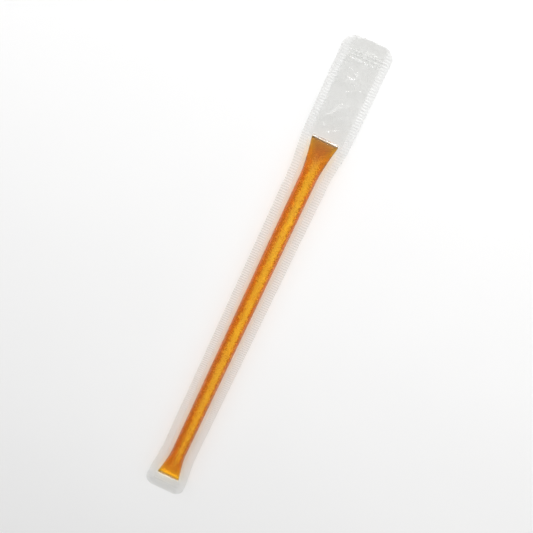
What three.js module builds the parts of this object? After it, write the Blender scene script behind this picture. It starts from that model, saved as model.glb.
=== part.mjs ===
// Honey stick: a clear straw of honey, pressed flat and welded shut at both ends, in its own
// clear film sleeve. It lies on its back with the shown side up.
// Millimetres, +Z up, +X along the straw towards the long free end of the sleeve.
import * as THREE from 'three';

const { clamp, lerp, smoothstep } = THREE.MathUtils;

// Straw
const STRAW_LENGTH = 178;
const STRAW_RADIUS = 3.5;
const STRAW_WALL = 0.2;
const WELD_LENGTH = 1.5; // flat band that shuts each end
const WELD_HALF_HEIGHT = 0.3;
const TAPER_LENGTH = 14; // from the flat band to the round tube
const TAPER_FULLNESS = 1.5; // 1 is a straight wedge, more swells like a filled tube

// Honey
const HONEY_GAP = 0.15; // to the straw's wall
const HONEY_SETBACK = 0.6; // from the flat band to where the honey starts

// Sleeve: two films joined along both long edges
const SLEEVE_FLAT_WIDTH = 19;
const SLEEVE_HEAD = 38; // empty film past the straw's upper end
const SLEEVE_TAIL = 8; // empty film past its lower end
const SEAM_WIDTH = 3; // joined margin along each long edge
const SEAM_LEAST = 0.4; // what is left of that margin round a corner
const FILM = 0.2;
const CORNER_RADIUS = 4.5;
const CLEARANCE = 0.15; // between the straw and the film
const SLIT_HALF = 0.15; // half the hairline between the films where they lie flat
const FOOT_HALF_WIDTH = 1.25; // half the strip that is pressed flat under the tube
const SHOULDER = 1.5; // over which the film closes past the straw's end
const HEAD_CURL = 1.6; // rise of both edges at the free end
const HEAD_TWIST = 0.8; // further rise of one edge there, and fall of the other

// Places that follow from the sizes above
const SLEEVE_LENGTH = SLEEVE_TAIL + STRAW_LENGTH + SLEEVE_HEAD;
const SLEEVE_START = -SLEEVE_LENGTH / 2;
const SLEEVE_END = SLEEVE_LENGTH / 2;
const STRAW_START = SLEEVE_START + SLEEVE_TAIL;
const STRAW_END = STRAW_START + STRAW_LENGTH;
const AXIS_HEIGHT = STRAW_RADIUS + CLEARANCE + FILM;
const HEAD_REST_HEIGHT = SLIT_HALF + FILM + HEAD_TWIST ** 2 / (4 * HEAD_CURL);

// Facets
const CAP_STEPS = 12; // points round each half of a straw or honey section
const WEB_STEPS = 5; // points over each quarter of the sleeve's bulge
const TAPER_STEPS = 8;
const TUBE_STEPS = 6;
const HEAD_STEPS = 10;
const CORNER_STEPS = 6;

// A closed surface, built from loops of points that run counter-clockwise seen from +X.
class Surface {
  constructor() {
    this.positions = [];
    this.triangles = [];
  }

  // Adds a loop and returns its corner numbers. Points in one place share a number.
  addLoop(points) {
    const corners = [];
    points.forEach((point, index) => {
      const twin = points.findIndex((other) => other.equals(point));
      if (twin === index) {
        corners.push(this.positions.length / 3);
        this.positions.push(point.x, point.y, point.z);
      } else {
        corners.push(corners[twin]);
      }
    });
    return corners;
  }

  addTriangle(a, b, c) {
    if (a !== b && b !== c && c !== a) {
      this.triangles.push(a, b, c);
    }
  }

  // The wall between two loops of as many points. It faces out if the second lies further along +X.
  bridge(near, far) {
    near.forEach((corner, index) => {
      const next = (index + 1) % near.length;
      this.addTriangle(corner, near[next], far[next]);
      this.addTriangle(corner, far[next], far[index]);
    });
  }

  bridgeAll(loops) {
    loops.slice(1).forEach((loop, index) => this.bridge(loops[index], loop));
  }

  // The face inside a loop whose second half runs back along its first. It faces +X.
  fold(loop) {
    for (let index = 0; index + 1 < loop.length / 2; index += 1) {
      const across = loop.length - 1 - index;
      this.addTriangle(loop[index], loop[index + 1], loop[across - 1]);
      this.addTriangle(loop[index], loop[across - 1], loop[across]);
    }
  }

  toGeometry() {
    const geometry = new THREE.BufferGeometry();
    geometry.setAttribute('position', new THREE.Float32BufferAttribute(this.positions, 3));
    geometry.setIndex(this.triangles);
    geometry.computeVertexNormals();
    return geometry;
  }
}

function steps(from, to, count) {
  return Array.from({ length: count + 1 }, (_, index) => lerp(from, to, index / count));
}

function backwards(list) {
  return [...list].reverse();
}

// Half the straw's outer height: flat at both ends, round in between.
function strawHalfHeight(x) {
  const pastWeld = Math.min(x - STRAW_START, STRAW_END - x) - WELD_LENGTH;
  const share = clamp(pastWeld / TAPER_LENGTH, 0, 1);
  return lerp(WELD_HALF_HEIGHT, STRAW_RADIUS, 1 - (1 - share) ** TAPER_FULLNESS);
}

// A tube keeps its girth when it is pressed, so what it loses in height it gains as flat sides.
function flatHalfLength(halfHeight) {
  return (Math.PI / 2) * (STRAW_RADIUS - halfHeight);
}

// A section of the pressed tube, drawn inset from its outer face: two flat sides, two round ends.
function tubeSection(x, inset) {
  const halfHeight = strawHalfHeight(x);
  const radius = halfHeight - inset;
  const flat = flatHalfLength(halfHeight);
  const points = [];
  for (const side of [1, -1]) {
    for (let step = 0; step < CAP_STEPS; step += 1) {
      const angle = Math.PI * ((step + 0.5) / CAP_STEPS - 0.5);
      const y = side * (flat + radius * Math.cos(angle));
      const z = side * radius * Math.sin(angle);
      points.push(new THREE.Vector3(x, y, AXIS_HEIGHT + z));
    }
  }
  return points;
}

function taperStations() {
  const lower = STRAW_START + WELD_LENGTH;
  const upper = STRAW_END - WELD_LENGTH;
  return [
    ...steps(lower, lower + TAPER_LENGTH, TAPER_STEPS),
    ...steps(lower + TAPER_LENGTH, upper - TAPER_LENGTH, TUBE_STEPS).slice(1, -1),
    ...steps(upper - TAPER_LENGTH, upper, TAPER_STEPS),
  ];
}

// The straw's wall. A hairline stays between the pressed faces of its two welds.
function strawGeometry() {
  const surface = new Surface();
  const stations = [STRAW_START, ...taperStations(), STRAW_END];
  const outer = stations.map((x) => surface.addLoop(tubeSection(x, 0)));
  const inner = stations.map((x) => surface.addLoop(tubeSection(x, STRAW_WALL)));
  surface.bridgeAll(outer);
  surface.bridge(outer.at(-1), inner.at(-1));
  surface.bridgeAll(backwards(inner));
  surface.bridge(inner[0], outer[0]);
  return surface.toGeometry();
}

// The honey, which fills the straw from just past one weld to just short of the other.
function honeyGeometry() {
  const surface = new Surface();
  const first = STRAW_START + WELD_LENGTH + HONEY_SETBACK;
  const last = STRAW_END - WELD_LENGTH - HONEY_SETBACK;
  const between = taperStations().filter((x) => x > first && x < last);
  const stations = [first, ...between, last];
  const loops = stations.map((x) => surface.addLoop(tubeSection(x, STRAW_WALL + HONEY_GAP)));
  surface.bridgeAll(loops);
  surface.fold(backwards(loops[0]));
  surface.fold(loops.at(-1));
  return surface.toGeometry();
}

// How much of each side is cut away at the sleeve's rounded corners.
function cornerCut(x) {
  const fromEnd = Math.min(x - SLEEVE_START, SLEEVE_END - x);
  const short = clamp(CORNER_RADIUS - fromEnd, 0, CORNER_RADIUS);
  return CORNER_RADIUS - Math.sqrt(CORNER_RADIUS ** 2 - short ** 2);
}

// What the films go round at a station: the straw, or only the hairline between them past its ends.
function sleeveCore(x) {
  const pastEnd = Math.max(STRAW_START - x, x - STRAW_END, 0);
  const halfHeight = strawHalfHeight(x);
  const share = clamp((pastEnd - 2 * CLEARANCE) / (SHOULDER - 2 * CLEARANCE), 0, 1);
  return {
    flat: flatHalfLength(halfHeight) - cornerCut(x),
    radius: lerp(halfHeight + CLEARANCE, SLIT_HALF, share),
  };
}

// How far from the middle the films meet, so that each keeps its cut width as it goes round the straw.
function seamDistance({ flat, radius }) {
  const filmToCover = SLEEVE_FLAT_WIDTH / 2 - SEAM_WIDTH - flat;
  let low = radius;
  let high = filmToCover;
  for (let pass = 0; pass < 40; pass += 1) {
    const reach = (low + high) / 2;
    const covered = radius * Math.asin(radius / reach) + Math.sqrt(reach ** 2 - radius ** 2);
    if (covered < filmToCover) {
      low = reach;
    } else {
      high = reach;
    }
  }
  return flat + low;
}

// The free end of the sleeve bends down to the table, and its edges curl and twist.
function headShare(x) {
  return clamp((x - STRAW_END) / SLEEVE_HEAD, 0, 1);
}

function filmHeight(x, y) {
  const share = headShare(x);
  const across = y / (SLEEVE_FLAT_WIDTH / 2);
  const middle = lerp(AXIS_HEIGHT, HEAD_REST_HEIGHT, smoothstep(share, 0, 1));
  return middle + share ** 2 * (HEAD_CURL * across ** 2 + HEAD_TWIST * across);
}

// How far from the middle the pocket and the sleeve end. A rounded corner cuts into both.
function sleeveEdges(x, core) {
  const meeting = seamDistance(core);
  const edge = meeting + SEAM_WIDTH - cornerCut(x);
  return { seam: Math.min(meeting, edge - SEAM_LEAST), edge };
}

// One film over one quarter of the core, in even steps from where it leaves the seam's slope.
function quarterFilm(core, seam, thickness) {
  const start = Math.acos(core.radius / (seam - core.flat));
  const arc = core.radius * (Math.PI / 2 - start);
  const radius = core.radius + thickness;
  return Array.from({ length: WEB_STEPS }, (_, step) => {
    const travelled = ((arc + core.flat) * step) / WEB_STEPS;
    const angle = Math.min(start + travelled / core.radius, Math.PI / 2);
    const onFlat = Math.max(travelled - arc, 0);
    return [core.flat - onFlat + radius * Math.cos(angle), radius * Math.sin(angle)];
  });
}

// A whole section from its right margin's points and one quarter, repeated on all four sides.
function mirrorSection(x, margin, quarter, crown, foot) {
  const mirrorY = ([y, z]) => [-y, z];
  const upperRight = [...margin, ...quarter];
  const upper = [...upperRight, crown, ...backwards(upperRight.map(mirrorY))];
  const lower = upper.map(([y, z]) => [-y, Math.abs(y) <= foot ? -crown[1] : -z]);
  const points = [...upper, ...lower];
  return points.map(([y, z]) => new THREE.Vector3(x, y, filmHeight(x, y) + z));
}

function outerSleeveSection(x) {
  const core = sleeveCore(x);
  const { seam, edge } = sleeveEdges(x, core);
  const margin = [[edge, FILM], [seam, FILM]];
  const crown = [0, core.radius + FILM];
  return mirrorSection(x, margin, quarterFilm(core, seam, FILM), crown, FOOT_HALF_WIDTH);
}

// The pocket between the films ends in a sharp edge, where the outside has the seam's two corners.
function innerSleeveSection(x) {
  const core = sleeveCore(x);
  const { seam } = sleeveEdges(x, core);
  const margin = [[seam, 0], [seam, 0]];
  return mirrorSection(x, margin, quarterFilm(core, seam, 0), [0, core.radius], 0);
}

function cornerStations(end, direction) {
  const quarter = steps(0, Math.PI / 2, CORNER_STEPS);
  return quarter.map((angle) => end + direction * CORNER_RADIUS * (1 - Math.cos(angle)));
}

// The sleeve. Its far end stays open by the hairline between the two films.
function sleeveGeometry() {
  const surface = new Surface();
  const pocketStart = STRAW_START - SHOULDER;
  const pocket = [
    pocketStart,
    STRAW_START - 2 * CLEARANCE,
    ...taperStations(),
    STRAW_END + 2 * CLEARANCE,
    ...steps(STRAW_END + SHOULDER, SLEEVE_END - CORNER_RADIUS, HEAD_STEPS),
  ];
  const headCorner = backwards(cornerStations(SLEEVE_END, -1)).slice(1);
  const stations = [...cornerStations(SLEEVE_START, 1), ...pocket, ...headCorner];
  const outer = stations.map((x) => surface.addLoop(outerSleeveSection(x)));
  const inner = [...pocket, SLEEVE_END].map((x) => surface.addLoop(innerSleeveSection(x)));
  surface.fold(backwards(outer[0]));
  surface.bridgeAll(outer);
  surface.bridge(outer.at(-1), inner.at(-1));
  surface.bridgeAll(backwards(inner));
  surface.fold(inner[0]);
  return surface.toGeometry();
}

function piece(name, geometry, look) {
  const mesh = new THREE.Mesh(geometry, new THREE.MeshStandardMaterial({ metalness: 0, ...look }));
  mesh.name = name;
  return mesh;
}

const honeyStick = new THREE.Group();
honeyStick.add(
  piece('honey', honeyGeometry(), { color: 0xe0991f, roughness: 0.15 }),
  piece('straw', strawGeometry(), { color: 0xf3eee0, roughness: 0.1, transparent: true, opacity: 0.3 }),
  piece('sleeve', sleeveGeometry(), { color: 0xeef1f0, roughness: 0.1, transparent: true, opacity: 0.25 }),
);

export default honeyStick;
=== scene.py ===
"""Honey stick in its clear film sleeve: the looks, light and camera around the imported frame. Metres."""
import math

import bpy
import numpy as np
from mathutils import Matrix, Vector, noise


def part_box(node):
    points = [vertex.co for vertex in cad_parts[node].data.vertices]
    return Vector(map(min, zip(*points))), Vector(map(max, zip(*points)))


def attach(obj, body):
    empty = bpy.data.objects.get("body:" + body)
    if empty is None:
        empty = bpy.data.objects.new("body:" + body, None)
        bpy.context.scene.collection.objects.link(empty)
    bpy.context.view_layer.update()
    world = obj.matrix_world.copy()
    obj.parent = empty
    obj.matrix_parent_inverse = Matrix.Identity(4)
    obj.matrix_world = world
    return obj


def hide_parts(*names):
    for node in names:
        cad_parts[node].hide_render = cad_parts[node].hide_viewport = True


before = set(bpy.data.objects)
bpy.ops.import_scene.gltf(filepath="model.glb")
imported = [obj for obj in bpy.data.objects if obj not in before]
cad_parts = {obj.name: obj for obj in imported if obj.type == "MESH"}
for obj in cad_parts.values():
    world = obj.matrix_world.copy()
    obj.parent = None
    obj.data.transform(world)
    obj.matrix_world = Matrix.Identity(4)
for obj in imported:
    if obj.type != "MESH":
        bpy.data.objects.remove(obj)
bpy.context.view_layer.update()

MM = 0.001

# Straw, as in the solids
STRAW_RADIUS = 3.5 * MM
STRAW_WALL = 0.2 * MM
WELD_LENGTH = 1.5 * MM
WELD_HALF_HEIGHT = 0.3 * MM
TAPER_LENGTH = 14 * MM
TAPER_FULLNESS = 1.5

# Sleeve, as in the solids
SLEEVE_FLAT_WIDTH = 19 * MM
SEAM_WIDTH = 3 * MM
SEAM_LEAST = 0.4 * MM
CORNER_RADIUS = 4.5 * MM
CLEARANCE = 0.15 * MM
SLIT_HALF = 0.15 * MM
SHOULDER = 1.5 * MM
HEAD_CURL = 1.6 * MM
HEAD_TWIST = 0.8 * MM
SOLID_FILM = 0.2 * MM

# Fine form of honey and straw that only the looks have
HONEY_IN_WALL = 0.14 * MM
HONEY_IN_WELD = 0.9 * MM
HONEY_EDGE_UNEVEN = 0.7 * MM
WELD_TOOTH_PITCH = 0.95 * MM
WELD_TOOTH_HEIGHT = 0.11 * MM
WELD_BEVEL = 0.45 * MM
WELD_CUT_UNEVEN = 0.18 * MM

# Fine form of the welds and the honey's edge in them, as shares of length, height and half width
WELD_TEETH_RISE = (0.35, 0.5)
WELD_TEETH_FALL = (0.85, 1.0)
WELD_PLATE_HEIGHT = 0.9
WELD_CUT_HEIGHT = 0.08
WELD_CUT_WAVE = 0.11
WELD_BEVEL_WAVE = 0.21
HONEY_EDGE_WAVE = 0.27

# Painted shade at the honey's upper end, and colour changes of the welds, measured from the straw's ends
# painted shade: where the honey's brown patch starts, where it is full, how uneven and how pointed its
# front is
PAINTED_SHADE_FROM = 14 * MM
PAINTED_SHADE_FULL_FROM = 7 * MM
PAINTED_SHADE_UNEVEN = 4 * MM
PAINTED_SHADE_POINT = 1.6
WELD_STAINED_FROM = 0.9 * MM
WELD_CLEAR_FROM = 0.4 * MM
WELD_STAIN_UNEVEN = 1 * MM

# Specks in the honey, bunched into a painted highlight streak above the middle and to one side, placed as
# shares of the room round the straw's axis
SPECK_SEED = 12
SPECK_COUNT = 48000
SPECK_SIZE = 0.065 * MM
SPECK_MOST_SHARE = 0.09
SPECK_FADE = 7 * MM
SPECK_FADED = 0.3
SPECKS_FROM_LOWER_END = 5 * MM
SPECKS_FROM_UPPER_END = 4 * MM
# painted highlight: the streak of specks sits above the middle and to one side, where the honey looks lit
HIGHLIGHT_STREAK_SPREAD = 0.22
HIGHLIGHT_STREAK_ASIDE = -0.12
HIGHLIGHT_STREAK_ABOVE = 0.45
HIGHLIGHT_STREAK_LIMIT = 0.85

# Fine form of the sleeve that only the looks have
FILM_THICKNESS = 0.04 * MM
SEAM_RIB_PITCH = 1.1 * MM
SEAM_RIB_HEIGHT = 0.045 * MM
SEAM_PLAIN_EDGE = 1.0 * MM
SEAM_FLUTTER = 0.25 * MM
SEAM_FLUTTER_LENGTH = 22 * MM
END_SEAL_FLAP = 4 * MM
END_SEAL_LENGTH = 4 * MM
END_SEAL_PITCH = 1.1 * MM
END_SEAL_ROW = 1.3 * MM
END_SEAL_HEIGHT = 0.045 * MM
PILLOW_HEIGHT = 0.35 * MM
WAVE_HEIGHT = 0.2 * MM
WAVE_LENGTH = 16 * MM
CRUMPLE_HEIGHT = 0.1 * MM
CRUMPLE_LENGTH = 6 * MM
CREASE_SEED = 31
CREASE_COUNT = 12
CREASE_MOST_HEIGHT = 0.5 * MM
CALM_TIP = 5 * MM

# Haze of the sleeve, with painted sheen on its free end, full from a place past the straw
HAZE_AND_SHEEN_FROM_STRAW = 10 * MM
MILKY_WHITE = (0.92, 0.92, 0.91, 1.0)

# Places that follow from the frame
straw_low, straw_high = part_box("straw")
sleeve_low, sleeve_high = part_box("sleeve")
STRAW_START, STRAW_END = straw_low.x, straw_high.x
SLEEVE_START, SLEEVE_END = sleeve_low.x, sleeve_high.x
SLEEVE_MIDDLE = (SLEEVE_START + SLEEVE_END) / 2
SLEEVE_HALF = (SLEEVE_END - SLEEVE_START) / 2
SLEEVE_HEAD = SLEEVE_END - STRAW_END
AXIS_HEIGHT = STRAW_RADIUS + CLEARANCE + SOLID_FILM
HEAD_REST_HEIGHT = SLIT_HALF + SOLID_FILM + HEAD_TWIST ** 2 / (4 * HEAD_CURL)
FILM_HALF = SLEEVE_FLAT_WIDTH / 2 - SEAM_WIDTH

# Camera: the photograph's slant to the stick, its lean and its near viewpoint
CAMERA_TILT = math.radians(25)
STICK_LEAN = math.radians(25.2)
CAMERA_DISTANCE = 0.30
CAMERA_LENS = 50
CAMERA_AIM = Vector((0.016, 0, 0.002))

# Floor, surround and lamps
FLOOR_RADIUS = 1.3
FLOOR_CORNERS = 180
SURROUND_LIGHT = 0.09
KEY_PLACE = (0.92, 0.0, 1.19)
KEY_SIZE = (0.88, 0.45)
KEY_POWER = 23.0
FILL_PLACE = (0.72, 1.04, 0.88)
FILL_SIZE = (0.8, 0.8)
FILL_POWER = 6.7


def smooth(low, high, value):
    """A smooth step from 0 at low to 1 at high."""
    share = np.clip((value - low) / (high - low), 0, 1)
    return share * share * (3 - 2 * share)


def ripple(x, y, scale, seed):
    """Seeded smooth noise from -1 to 1, with bumps about scale wide."""
    return noise.noise(Vector((x / scale, y / scale, seed)))


def ripples(x, y, scale, seed):
    """The same noise over arrays."""
    return np.vectorize(ripple)(x, y, scale, seed)


# Meshes from arrays

def grid_faces(rows, columns, wrapped=False):
    """Quads over a grid of points, the last column joined to the first if it is wrapped."""
    across = columns if wrapped else columns - 1
    row, column = np.meshgrid(np.arange(rows - 1), np.arange(across), indexing="ij")
    following = (column + 1) % columns
    near = row * columns
    far = near + columns
    corners = [near + column, near + following, far + following, far + column]
    return np.stack(corners, axis=-1).reshape(-1, 4)


def fold_faces(first, count):
    """Faces inside a ring of points whose second half runs back along its first."""
    index = np.arange(count // 2 - 1)
    across = count - 1 - index
    return first + np.stack([index, index + 1, across - 1, across], axis=-1)


def add_piece(name, points, faces, material, replaced):
    """A smooth piece of the visual model, which stands for a solid."""
    mesh = bpy.data.meshes.new(name)
    mesh.from_pydata(points.reshape(-1, 3).tolist(), [], faces.tolist())
    mesh.shade_smooth()
    mesh.materials.append(material)
    piece = bpy.data.objects.new(name, mesh)
    bpy.context.scene.collection.objects.link(piece)
    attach(piece, "root")
    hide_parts(replaced)
    return piece


# Forms shared with the solids

def straw_half_height(x):
    """Half the straw's height, from least in the welds to its radius past the tapers."""
    past_weld = np.minimum(x - STRAW_START, STRAW_END - x) - WELD_LENGTH
    share = np.clip(past_weld / TAPER_LENGTH, 0, 1)
    return WELD_HALF_HEIGHT + (STRAW_RADIUS - WELD_HALF_HEIGHT) * (1 - (1 - share) ** TAPER_FULLNESS)


def flat_half_length(half_height):
    """Half the flat stretch of a tube pressed to this half height, which keeps its girth."""
    return math.pi / 2 * (STRAW_RADIUS - half_height)


def tube_points(x, angle, inset):
    """Points of the pressed tube, inset from its outer face. Angle 0 is on its +Y side."""
    half_height = straw_half_height(x)
    radius = half_height - inset
    side = np.where(np.cos(angle) >= 0, 1.0, -1.0)
    y = side * flat_half_length(half_height) + radius * np.cos(angle)
    z = AXIS_HEIGHT + radius * np.sin(angle)
    return np.stack([x + 0 * angle, y, z], axis=-1)


def tube_angles(count):
    """Angles round a ring from -90 degrees, none of them on the flat sides' middle."""
    return (np.arange(count) + 0.5) / count * 2 * math.pi - math.pi / 2


def head_share(x):
    """How far along the sleeve's free end x is, from 0 to 1."""
    return np.clip((x - STRAW_END) / SLEEVE_HEAD, 0, 1)


def film_height(x, y):
    """Height of the sleeve's middle plane, which sinks past the straw and curls up at its free end."""
    share = head_share(x)
    across = y / (SLEEVE_FLAT_WIDTH / 2)
    middle = AXIS_HEIGHT + (HEAD_REST_HEIGHT - AXIS_HEIGHT) * smooth(0, 1, share)
    return middle + share ** 2 * (HEAD_CURL * across ** 2 + HEAD_TWIST * across)


def corner_cut(x):
    """How much of each side is cut away at the sleeve's rounded corners."""
    from_end = max(min(x - SLEEVE_START, SLEEVE_END - x), 0)
    short = max(CORNER_RADIUS - from_end, 0)
    return CORNER_RADIUS - math.sqrt(CORNER_RADIUS ** 2 - short ** 2)


def film_half(x):
    """Half the width of the film between its seams, less where a corner cuts into it."""
    return min(FILM_HALF, SLEEVE_FLAT_WIDTH / 2 - corner_cut(x) - SEAM_LEAST)


def sleeve_core(x):
    """Half flat length and radius of what the films go round at x."""
    past_end = max(STRAW_START - x, x - STRAW_END, 0)
    half_height = float(straw_half_height(x))
    share = min(max((past_end - 2 * CLEARANCE) / (SHOULDER - 2 * CLEARANCE), 0), 1)
    radius = (half_height + CLEARANCE) * (1 - share) + SLIT_HALF * share
    return flat_half_length(half_height) - corner_cut(x), radius


def seam_reach(to_cover, radius):
    """How far past the flat the films meet, so that each keeps its cut width round the straw."""
    low, high = radius, to_cover
    for _ in range(40):
        reach = (low + high) / 2
        covered = radius * math.asin(radius / reach) + math.sqrt(reach ** 2 - radius ** 2)
        if covered < to_cover:
            low = reach
        else:
            high = reach
    return low


def film_section(x, across):
    """Y and height over the middle plane of the upper film, at distances measured across the film."""
    flat, radius = sleeve_core(x)
    half = film_half(x)
    reach = seam_reach(half - flat, radius)
    start = math.acos(radius / reach)
    arc = radius * (math.pi / 2 - start)
    out = np.abs(across)
    angle = np.clip(math.pi / 2 - (out - flat) / radius, start, math.pi / 2)
    slope = np.clip(out - flat - arc, 0, half - flat - arc)
    margin = np.maximum(out - half, 0)
    y = np.minimum(out, flat) + radius * np.cos(angle) + slope * math.sin(start) + margin
    z = np.maximum(radius * np.sin(angle) - slope * math.cos(start), 0)
    return np.sign(across) * y, z


# Honey and straw

def ragged_edge(angle, seed):
    """How far the honey's edge in a weld stays back round its ring, from 0 to 1."""
    lateral = np.cos(angle)
    return np.clip(0.5 + 0.85 * ripples(lateral, 0 * lateral, HONEY_EDGE_WAVE, seed), 0, 1)


def make_honey(material):
    """The honey, which reaches just into the straw's wall and has an uneven edge inside each weld."""
    around, along = 72, 420
    angle = tube_angles(around)
    clear_end = WELD_LENGTH - HONEY_IN_WELD
    start = STRAW_START + clear_end + HONEY_EDGE_UNEVEN * ragged_edge(angle, seed=3.1)
    end = STRAW_END - clear_end - HONEY_EDGE_UNEVEN * ragged_edge(angle, seed=8.7)
    share = np.linspace(0, 1, along)[:, None]
    x = start + (end - start) * share
    points = tube_points(x, np.broadcast_to(angle, x.shape), STRAW_WALL - HONEY_IN_WALL)
    faces = np.concatenate([
        grid_faces(along, around, wrapped=True),
        fold_faces(0, around)[:, ::-1],
        fold_faces((along - 1) * around, around),
    ])
    add_piece("honey_fill", points, faces, material, "honey")


def make_highlight_specks(material):
    """Pale flat-sided specks, partly crystals in the honey, in a scattered streak above the honey's
    middle that paints its highlight, finer at its upper end.
    """
    draw = np.random.default_rng(SPECK_SEED)
    first = STRAW_START + SPECKS_FROM_LOWER_END
    last = STRAW_END - SPECKS_FROM_UPPER_END
    x = first + (last - first) * draw.beta(1.4, 1.1, SPECK_COUNT)
    half_height = straw_half_height(x)
    room = half_height - STRAW_WALL - 2 * SPECK_SIZE
    turn = draw.uniform(0, 2 * math.pi, SPECK_COUNT)
    reach = room * draw.rayleigh(HIGHLIGHT_STREAK_SPREAD, SPECK_COUNT)
    spread = flat_half_length(half_height) * draw.uniform(-0.8, 0.8, SPECK_COUNT)
    # painted highlight: the specks gather above the middle and to one side
    aside = reach * np.cos(turn) + HIGHLIGHT_STREAK_ASIDE * room
    above = reach * np.sin(turn) + HIGHLIGHT_STREAK_ABOVE * room
    held = np.minimum(1, HIGHLIGHT_STREAK_LIMIT * room / np.hypot(aside, above))
    centres = np.stack([x, spread + held * aside, AXIS_HEIGHT + held * above], axis=-1)[:, None]
    sizes = np.minimum(SPECK_SIZE * draw.lognormal(-0.3, 0.85, SPECK_COUNT), SPECK_MOST_SHARE * room)
    sizes = sizes * (SPECK_FADED + (1 - SPECK_FADED) * smooth(0, SPECK_FADE, last - x))
    stretch = draw.uniform(0.5, 1.0, (SPECK_COUNT, 1, 3))
    corners = np.array([[1, 1, 1], [1, -1, -1], [-1, 1, -1], [-1, -1, 1]])
    sides = np.array([[0, 1, 2], [0, 3, 1], [0, 2, 3], [1, 3, 2]])
    points = centres + sizes[:, None, None] * stretch * corners
    faces = sides + len(corners) * np.arange(SPECK_COUNT)[:, None, None]
    specks = add_piece("honey_specks_highlight", points, faces.reshape(-1, 3), material, "honey")
    specks.data.shade_flat()


def make_straw(material):
    """The straw's thin wall between its two welds."""
    around, along = 64, 240
    angle = tube_angles(around)
    x = np.linspace(STRAW_START + 0.5 * WELD_LENGTH, STRAW_END - 0.5 * WELD_LENGTH, along)[:, None]
    x = np.broadcast_to(x, (along, around))
    turns = np.broadcast_to(angle, x.shape)
    outer = tube_points(x, turns, 0)
    inner = tube_points(x, turns, STRAW_WALL)
    wall = grid_faces(along, around, wrapped=True)
    size = along * around
    ring = np.arange(around)
    following = (ring + 1) % around
    last = size - around
    first_rim = np.stack([ring + size, following + size, following, ring], axis=-1)
    last_rim = first_rim[:, ::-1] + last
    faces = np.concatenate([wall, wall[:, ::-1] + size, first_rim, last_rim])
    add_piece("straw_wall", np.concatenate([outer, inner]), faces, material, "straw")


def make_weld(name, outer_end, inward, seed):
    """One flat welded end, with a row of the sealing jaw's teeth and an uneven bevelled cut."""
    rows, columns = 30, 220
    half_width = flat_half_length(WELD_HALF_HEIGHT) + WELD_HALF_HEIGHT
    across = np.linspace(-1, 1, columns)
    cut = WELD_CUT_UNEVEN * ripples(across, 0 * across, WELD_CUT_WAVE, seed)
    depth = np.linspace(0, WELD_LENGTH, rows)[:, None]
    share = depth / WELD_LENGTH
    x = outer_end + inward * (depth + cut * (1 - share))
    y = np.broadcast_to(across * half_width, x.shape)
    band = smooth(*WELD_TEETH_RISE, share) * (1 - smooth(*WELD_TEETH_FALL, share))
    teeth = np.cos(2 * math.pi * y / WELD_TOOTH_PITCH) * band
    bevel_length = WELD_BEVEL * (1 + 0.8 * ripples(across, 0 * across, WELD_BEVEL_WAVE, seed + 1))
    bevel = np.clip(depth / bevel_length, WELD_CUT_HEIGHT, 1)
    edge = np.sqrt(np.clip(1 - across ** 6, 0.04, 1))
    plate = WELD_PLATE_HEIGHT * WELD_HALF_HEIGHT * bevel
    half_height = (plate + WELD_TOOTH_HEIGHT * teeth) * edge
    upper = np.stack([x, y, AXIS_HEIGHT + half_height], axis=-1)
    lower = np.stack([x, y, AXIS_HEIGHT - half_height], axis=-1)
    points = np.concatenate([upper, lower[:, ::-1]], axis=1)
    count = 2 * columns
    faces = np.concatenate([
        grid_faces(rows, count, wrapped=True),
        fold_faces(0, count)[:, ::-1],
        fold_faces((rows - 1) * count, count),
    ])
    if inward > 0:
        faces = faces[:, ::-1]
    inner = outer_end + inward * WELD_STAINED_FROM
    outer = outer_end + inward * WELD_CLEAR_FROM
    add_piece(name, points, faces, weld_material(name, inner, outer), "straw")


# Film sleeve

def end_seal_share(x):
    """1 inside the pressed band across either end of the sleeve, 0 away from it."""
    from_end = np.minimum(x - SLEEVE_START, SLEEVE_END - x)
    fade = 0.4 * MM
    outer = END_SEAL_FLAP
    inner = outer + END_SEAL_LENGTH
    return smooth(outer, outer + fade, from_end) * (1 - smooth(inner - fade, inner, from_end))


def head_creases(side):
    """Seeded fold lines in the sleeve's free end: places, turn, half length, half width and height."""
    draw = np.random.default_rng(CREASE_SEED + side)
    along = draw.permutation(np.linspace(STRAW_END + 3 * MM, SLEEVE_END - 9 * MM, CREASE_COUNT))
    across = draw.uniform(-0.6, 0.6, CREASE_COUNT) * FILM_HALF
    turn = draw.uniform(-1.2, 1.2, CREASE_COUNT)
    half_length = draw.uniform(3, 10, CREASE_COUNT) * MM
    half_width = np.geomspace(0.5, 3, CREASE_COUNT) * MM
    height = np.minimum(half_width * draw.uniform(0.12, 0.36, CREASE_COUNT), CREASE_MOST_HEIGHT)
    return list(zip(along, across, turn, half_length, half_width, height))


def crease_relief(x, across, creases):
    """The height of the ridges along the fold lines, each with a sharp top and a soft foot."""
    relief = 0 * across
    for middle, offset, turn, half_length, half_width, height in creases:
        along = (x - middle) * math.cos(turn) + (across - offset) * math.sin(turn)
        off = (across - offset) * math.cos(turn) - (x - middle) * math.sin(turn)
        ridge = np.clip(1 - np.abs(off) / half_width, 0, 1) ** 2
        relief = relief + height * ridge * np.clip(1 - (along / half_length) ** 2, 0, 1)
    return relief


def film_relief(x, across, side, creases):
    """How far a film stands out from its plain form: pillow, waves, creases and fine crumpling."""
    share = head_share(x)
    inside = np.clip(1 - (across / FILM_HALF) ** 2, 0, 1)
    pillow = PILLOW_HEIGHT * np.sin(math.pi * np.clip(share * 1.25, 0, 1))
    waves = WAVE_HEIGHT * ripples(x, across * 2.2, WAVE_LENGTH, 5.0 + side) * smooth(0, 0.25, share)
    crumple = CRUMPLE_HEIGHT * (1 - np.abs(ripples(x, across * 1.6, CRUMPLE_LENGTH, 11.0 + side)))
    folds = crease_relief(x, across, creases)
    calm_tip = smooth(0, CALM_TIP, SLEEVE_END - x)
    return (pillow + waves + crumple + folds) * inside * (1 - end_seal_share(x)) * calm_tip


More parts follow.
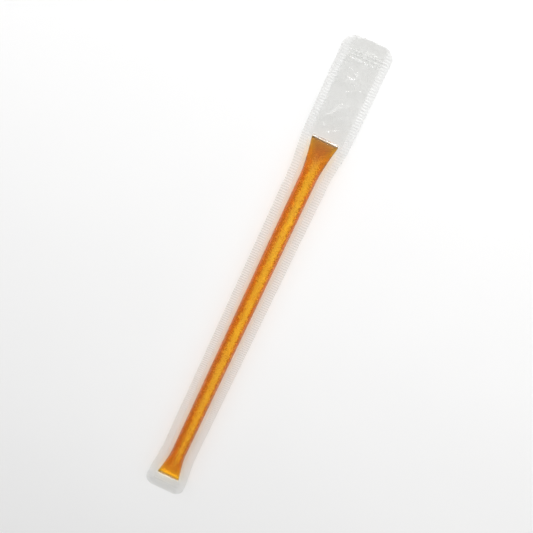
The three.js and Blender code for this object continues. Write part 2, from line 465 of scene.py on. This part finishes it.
def film_stations(along_straw, along_head):
    """Places along the sleeve beside the straw and in its free end, closest together at the corners."""
    round_corner = 40
    turn = np.linspace(0, math.pi / 2, round_corner, endpoint=False)
    corner = CORNER_RADIUS * (1 - np.cos(turn))
    straw = np.linspace(SLEEVE_START + CORNER_RADIUS, STRAW_END, along_straw, endpoint=False)
    head = np.linspace(STRAW_END, SLEEVE_END - CORNER_RADIUS, along_head)
    return np.concatenate([SLEEVE_START + corner, straw, head, SLEEVE_END - corner[::-1]])


def add_film(name, points, material):
    """A piece of film from a grid of points on its middle."""
    rows, columns, _ = points.shape
    piece = add_piece(name, points, grid_faces(rows, columns), material, "sleeve")
    modifier = piece.modifiers.new("film_thickness", "SOLIDIFY")
    modifier.thickness = FILM_THICKNESS
    modifier.offset = 0


def make_film(name, side, material):
    """One of the sleeve's two films between its seams, 1 the upper and -1 the lower."""
    creases = head_creases(side)
    columns = 91
    sections = []
    for x in film_stations(along_straw=170, along_head=200):
        across = np.linspace(-1, 1, columns) * film_half(x)
        y, z = film_section(x, across)
        relief = film_relief(x, across, side, creases)
        teeth = END_SEAL_HEIGHT * np.sin(2 * math.pi * across / END_SEAL_PITCH) * end_seal_share(x)
        height = film_height(x, y) + side * (z + relief) + teeth
        sections.append(np.stack([x + 0 * y, y, np.maximum(height, FILM_THICKNESS)], axis=-1))
    add_film(name, np.array(sections), material)


def make_seam(name, hand, material):
    """One long joined margin of the sleeve, ribbed by a sealing wheel up to a plain outer edge."""
    ribbed_to = SEAM_WIDTH - SEAM_PLAIN_EDGE
    fade = 0.3 * MM
    columns = 13
    sections = []
    for x in film_stations(along_straw=1360, along_head=260):
        inner = film_half(x)
        outer = SLEEVE_FLAT_WIDTH / 2 - corner_cut(x)
        out = np.linspace(0, outer - inner, columns)
        y, _ = film_section(x, hand * (inner + out))
        band = smooth(0, fade, out) * (1 - smooth(ribbed_to, ribbed_to + fade, out))
        ribs = SEAM_RIB_HEIGHT * band * math.sin(2 * math.pi * x / SEAM_RIB_PITCH)
        flutter = SEAM_FLUTTER * ripple(x, hand, SEAM_FLUTTER_LENGTH, 4.0) * out / SEAM_WIDTH
        sections.append(np.stack([x + 0 * y, y, film_height(x, y) + ribs + flutter], axis=-1))
    add_film(name, np.array(sections), material)


# Nodes that materials share

def new_material(name):
    """A node material with nothing but its output."""
    material = bpy.data.materials.new(name)
    material.use_nodes = True
    tree = material.node_tree
    tree.nodes.clear()
    output = tree.nodes.new("ShaderNodeOutputMaterial")
    return material, tree, output


def add_node(tree, kind, **values):
    """A node with its input sockets set by name."""
    node = tree.nodes.new(kind)
    for socket, value in values.items():
        node.inputs[socket.replace("_", " ")].default_value = value
    return node


def calculate(tree, operation, *terms):
    """One step of arithmetic on sockets and plain numbers."""
    node = tree.nodes.new("ShaderNodeMath")
    node.operation = operation
    for socket, term in zip(node.inputs, terms):
        if isinstance(term, bpy.types.NodeSocket):
            tree.links.new(term, socket)
        else:
            socket.default_value = term
    return node.outputs["Value"]


def remap(tree, value, low, high, to_low, to_high):
    """A value taken from one range to another and held inside it."""
    node = add_node(
        tree, "ShaderNodeMapRange",
        From_Min=low, From_Max=high, To_Min=to_low, To_Max=to_high,
    )
    tree.links.new(value, node.inputs["Value"])
    return node.outputs["Result"]


def place_on_piece(tree):
    """X and Y of the place that is coloured."""
    position = add_node(tree, "ShaderNodeTexCoord")
    axes = add_node(tree, "ShaderNodeSeparateXYZ")
    tree.links.new(position.outputs["Object"], axes.inputs["Vector"])
    return axes.outputs["X"], axes.outputs["Y"]


def clouds(tree, scale, detail):
    """Uneven noise about a half."""
    position = add_node(tree, "ShaderNodeTexCoord")
    noise_node = add_node(tree, "ShaderNodeTexNoise", Scale=scale, Detail=detail)
    tree.links.new(position.outputs["Object"], noise_node.inputs["Vector"])
    return noise_node.outputs["Fac"]


def waves(tree, along, pitch):
    """Rows of ridges a pitch apart, 1 on each ridge and 0 between."""
    wave = calculate(tree, "SINE", calculate(tree, "MULTIPLY", along, 2 * math.pi / pitch))
    return remap(tree, wave, -0.2, 0.6, 0.0, 1.0)


def mixed_along(tree, first_color, last_color, first, last, uneven, point=0.0):
    """A colour that changes between two places along the straw, at an uneven or pointed front."""
    x, y = place_on_piece(tree)
    swept = calculate(tree, "MULTIPLY_ADD", calculate(tree, "ABSOLUTE", y), -point, x)
    shifted = calculate(tree, "MULTIPLY_ADD", clouds(tree, 450.0, 3.0), uneven, swept)
    mix = tree.nodes.new("ShaderNodeMix")
    mix.data_type = "RGBA"
    mix.inputs["A"].default_value = first_color
    mix.inputs["B"].default_value = last_color
    share = remap(tree, shifted, first + uneven / 2, last + uneven / 2, 0.0, 1.0)
    tree.links.new(share, mix.inputs["Factor"])
    return mix.outputs["Result"]


def reflected_share(tree, face_on, edge_on):
    """The share of light that a plastic face reflects, alike from both sides, by its slant."""
    slant = add_node(tree, "ShaderNodeLayerWeight", Blend=0.5)
    steep = calculate(tree, "POWER", slant.outputs["Facing"], 5.0)
    return remap(tree, steep, 0.0, 1.0, face_on, edge_on)


def lit_through(tree, shader):
    """The same look, but the lamps shine straight through it."""
    lamp_path = add_node(tree, "ShaderNodeLightPath")
    clear = add_node(tree, "ShaderNodeBsdfTransparent")
    surface = add_node(tree, "ShaderNodeMixShader")
    link = tree.links.new
    link(lamp_path.outputs["Is Shadow Ray"], surface.inputs["Fac"])
    link(shader, surface.inputs[1])
    link(clear.outputs["BSDF"], surface.inputs[2])
    return surface.outputs["Shader"]


# Hazes that dull a clear skin, some of them also painted sheen and glints

def straw_haze(tree):
    """Very faint clouds."""
    return remap(tree, clouds(tree, 160.0, 4.0), 0.3, 0.75, 0.0006, 0.002)


def seam_haze_and_glints(tree):
    """Whitened ridges of the seam's ribs: partly real whitening where they are pressed, partly painted
    glints.
    """
    x, _ = place_on_piece(tree)
    # painted glints, partly real whitening: whiter ridges at the ribs' pitch
    return remap(tree, waves(tree, x, SEAM_RIB_PITCH), 0.0, 1.0, 0.02, 0.09)


def film_haze_and_sheen(tree):
    """A faint real haze and painted sheen in soft clouds over the free end, and rows of whitened dashes
    in both end seals, partly painted glints.
    """
    x, y = place_on_piece(tree)
    # painted sheen with a faint real haze: soft whiter clouds stand in for soft reflections on the free
    # end
    haze_and_sheen_amount = remap(tree, x, STRAW_END, STRAW_END + HAZE_AND_SHEEN_FROM_STRAW, 0.003, 0.07)
    soft = remap(tree, clouds(tree, 70.0, 3.0), 0.35, 0.7, 0.0, 1.0)
    cloudy = calculate(tree, "MULTIPLY", soft, haze_and_sheen_amount)
    from_middle = calculate(tree, "ABSOLUTE", calculate(tree, "SUBTRACT", x, SLEEVE_MIDDLE))
    seal_middle = SLEEVE_HALF - END_SEAL_FLAP - END_SEAL_LENGTH / 2
    band = calculate(tree, "COMPARE", from_middle, seal_middle, END_SEAL_LENGTH / 2)
    # painted glints, partly real whitening: rows of whiter dashes in the end seals
    dashes = calculate(tree, "MULTIPLY", waves(tree, y, END_SEAL_PITCH), waves(tree, x, END_SEAL_ROW))
    pressed = calculate(tree, "MULTIPLY", dashes, band)
    return calculate(tree, "MULTIPLY_ADD", pressed, 0.09, cloudy)


# Materials

def honey_material():
    """Clear amber, with painted shade: a pointed brown patch towards the upper end."""
    material, tree, output = new_material("honey")
    glass = add_node(
        tree, "ShaderNodeBsdfPrincipled",
        Roughness=0.05, IOR=1.49, Transmission_Weight=0.9, Specular_IOR_Level=0.0,
    )
    amber = (0.87, 0.70, 0.06, 1.0)
    # painted shade: this brown darkens the upper taper where the facet and its reflection are dark
    painted_shade_brown = (0.58, 0.34, 0.105, 1.0)
    color = mixed_along(
        tree, amber, painted_shade_brown,
        STRAW_END - PAINTED_SHADE_FROM, STRAW_END - PAINTED_SHADE_FULL_FROM, PAINTED_SHADE_UNEVEN, PAINTED_SHADE_POINT,
    )
    bump = add_node(tree, "ShaderNodeBump", Strength=0.2, Distance=0.0001)
    absorb = add_node(tree, "ShaderNodeVolumeAbsorption", Color=(0.925, 0.65, 0.0, 1.0), Density=430.0)
    link = tree.links.new
    link(clouds(tree, 700.0, 2.0), bump.inputs["Height"])
    link(bump.outputs["Normal"], glass.inputs["Normal"])
    link(color, glass.inputs["Base Color"])
    link(lit_through(tree, glass.outputs["BSDF"]), output.inputs["Surface"])
    link(absorb.outputs["Volume"], output.inputs["Volume"])
    return material


def highlight_speck_material():
    """Pale gold that differs from speck to speck; the bright specks paint the honey's highlight streak.
    """
    material, tree, output = new_material("honey_specks_highlight")
    tone = tree.nodes.new("ShaderNodeValToRGB")
    dull, bright = tone.color_ramp.elements
    dull.color = (0.68, 0.55, 0.18, 1.0)
    bright.color = (0.96, 0.93, 0.68, 1.0)
    surface = add_node(tree, "ShaderNodeBsdfPrincipled", Roughness=0.4)
    link = tree.links.new
    link(clouds(tree, 1600.0, 2.0), tone.inputs["Fac"])
    link(tone.outputs["Color"], surface.inputs["Base Color"])
    link(lit_through(tree, surface.outputs["BSDF"]), output.inputs["Surface"])
    return material


def clear_skin_material(name, clear_color, haze_color, haze_and_sheen, roughness, face_on, edge_on):
    """A thin clear plastic: see-through, glossy by its slant, dulled and whitened where the given haze
    function says; on the sleeve that whitening is partly painted sheen and glints.
    """
    material, tree, output = new_material(name)
    clear = add_node(tree, "ShaderNodeBsdfTransparent", Color=clear_color)
    gloss = add_node(tree, "ShaderNodeBsdfGlossy", Roughness=roughness)
    milky_haze_and_sheen = add_node(tree, "ShaderNodeBsdfDiffuse", Color=haze_color)
    haze_and_sheen_mix = add_node(tree, "ShaderNodeMixShader")
    skin = add_node(tree, "ShaderNodeMixShader")
    link = tree.links.new
    link(haze_and_sheen(tree), haze_and_sheen_mix.inputs["Fac"])
    link(clear.outputs["BSDF"], haze_and_sheen_mix.inputs[1])
    link(milky_haze_and_sheen.outputs["BSDF"], haze_and_sheen_mix.inputs[2])
    link(reflected_share(tree, face_on, edge_on), skin.inputs["Fac"])
    link(haze_and_sheen_mix.outputs["Shader"], skin.inputs[1])
    link(gloss.outputs["BSDF"], skin.inputs[2])
    link(skin.outputs["Shader"], output.inputs["Surface"])
    return material


def film_material():
    clear = (0.968, 0.968, 0.965, 1.0)
    return clear_skin_material(
        "film", clear, MILKY_WHITE, film_haze_and_sheen, roughness=0.12, face_on=0.013, edge_on=0.2,
    )


def seam_material():
    clear = (0.96, 0.96, 0.957, 1.0)
    return clear_skin_material(
        "film_seam", clear, MILKY_WHITE, seam_haze_and_glints, roughness=0.36, face_on=0.03, edge_on=0.4,
    )


def straw_material():
    cream = (0.9, 0.8, 0.6, 1.0)
    clear = (0.985, 0.97, 0.95, 1.0)
    return clear_skin_material(
        "straw", clear, cream, straw_haze, roughness=0.05, face_on=0.003, edge_on=0.02,
    )


def weld_material(name, inner, outer):
    """Clear plastic, stained by honey up to an uneven front between the places inner and outer."""
    material, tree, output = new_material(name)
    glass = add_node(tree, "ShaderNodeBsdfPrincipled", IOR=1.49, Transmission_Weight=0.85)
    stained = (0.85, 0.68, 0.46, 1.0)
    clear = (0.98, 0.98, 0.97, 1.0)
    link = tree.links.new
    color = mixed_along(tree, stained, clear, inner, outer, WELD_STAIN_UNEVEN)
    link(color, glass.inputs["Base Color"])
    link(remap(tree, clouds(tree, 700.0, 3.0), 0.0, 1.0, 0.05, 0.25), glass.inputs["Roughness"])
    link(lit_through(tree, glass.outputs["BSDF"]), output.inputs["Surface"])
    return material


def floor_material():
    material, tree, output = new_material("pale_floor")
    surface = add_node(tree, "ShaderNodeBsdfPrincipled", Roughness=0.7)
    link = tree.links.new
    link(remap(tree, clouds(tree, 9.0, 3.0), 0.0, 1.0, 0.80, 0.84), surface.inputs["Base Color"])
    link(surface.outputs["BSDF"], output.inputs["Surface"])
    return material


# Stage

def make_floor():
    """A round pale floor, so that its far edge is level from every side."""
    turns = [2 * math.pi * corner / FLOOR_CORNERS for corner in range(FLOOR_CORNERS)]
    points = [(FLOOR_RADIUS * math.cos(turn), FLOOR_RADIUS * math.sin(turn), 0) for turn in turns]
    mesh = bpy.data.meshes.new("floor")
    mesh.from_pydata(points, [], [range(FLOOR_CORNERS)])
    mesh.materials.append(floor_material())
    floor = bpy.data.objects.new("floor", mesh)
    bpy.context.scene.collection.objects.link(floor)


def add_softbox(name, place, size, power):
    """A rectangular lamp turned to the middle of the floor."""
    lamp = bpy.data.lights.new(name, "AREA")
    lamp.shape = "RECTANGLE"
    lamp.size, lamp.size_y = size
    lamp.energy = power
    softbox = bpy.data.objects.new(name, lamp)
    softbox.location = place
    softbox.rotation_euler = (-Vector(place)).to_track_quat("-Z", "Y").to_euler()
    bpy.context.scene.collection.objects.link(softbox)


def light_scene():
    """A pale surround that gives little light of its own, and three softboxes."""
    world = bpy.data.worlds.new("studio")
    world.use_nodes = True
    tree = world.node_tree
    dim = tree.nodes["Background"]
    dim.inputs["Color"].default_value = (1.0, 0.99, 0.97, 1.0)
    dim.inputs["Strength"].default_value = SURROUND_LIGHT
    pale = add_node(tree, "ShaderNodeBackground", Color=(0.9, 0.9, 0.89, 1.0))
    path = add_node(tree, "ShaderNodeLightPath")
    surround = add_node(tree, "ShaderNodeMixShader")
    link = tree.links.new
    link(path.outputs["Is Camera Ray"], surround.inputs["Fac"])
    link(dim.outputs["Background"], surround.inputs[1])
    link(pale.outputs["Background"], surround.inputs[2])
    link(surround.outputs["Shader"], tree.nodes["World Output"].inputs["Surface"])
    bpy.context.scene.world = world
    along, aside, height = FILL_PLACE
    add_softbox("key", KEY_PLACE, KEY_SIZE, KEY_POWER)
    add_softbox("fill_left", (along, aside, height), FILL_SIZE, FILL_POWER)
    add_softbox("fill_right", (along, -aside, height), FILL_SIZE, FILL_POWER)


def place_camera():
    """The camera, aimed past the stick's middle from the photograph's angle."""
    looking = Vector((-math.sin(CAMERA_TILT), 0, -math.cos(CAMERA_TILT)))
    stick_up = Vector((math.cos(CAMERA_TILT), 0, -math.sin(CAMERA_TILT)))
    stick_right = looking.cross(stick_up)
    up = stick_up * math.cos(STICK_LEAN) - stick_right * math.sin(STICK_LEAN)
    right = stick_up * math.sin(STICK_LEAN) + stick_right * math.cos(STICK_LEAN)
    turn = Matrix((right, up, -looking)).transposed().to_4x4()
    camera = bpy.data.objects.new("camera", bpy.data.cameras.new("camera"))
    camera.data.lens = CAMERA_LENS
    camera.data.clip_start = 0.01
    camera.matrix_world = Matrix.Translation(CAMERA_AIM - looking * CAMERA_DISTANCE) @ turn
    bpy.context.scene.collection.objects.link(camera)
    bpy.context.scene.camera = camera


def set_light_paths():
    """Enough bounces to see through every clear layer, and plain colours."""
    scene = bpy.context.scene
    scene.view_settings.view_transform = "Standard"
    scene.cycles.max_bounces = 24
    scene.cycles.transmission_bounces = 16
    scene.cycles.transparent_max_bounces = 48


def build():
    make_honey(honey_material())
    make_highlight_specks(highlight_speck_material())
    make_straw(straw_material())
    make_weld("straw_weld_lower", STRAW_START, inward=1, seed=2.3)
    make_weld("straw_weld_upper", STRAW_END, inward=-1, seed=6.1)
    film = film_material()
    seam = seam_material()
    make_film("sleeve_film_upper", 1, film)
    make_film("sleeve_film_lower", -1, film)
    make_seam("sleeve_seam_left", 1, seam)
    make_seam("sleeve_seam_right", -1, seam)
    make_floor()
    light_scene()
    place_camera()
    set_light_paths()


build()
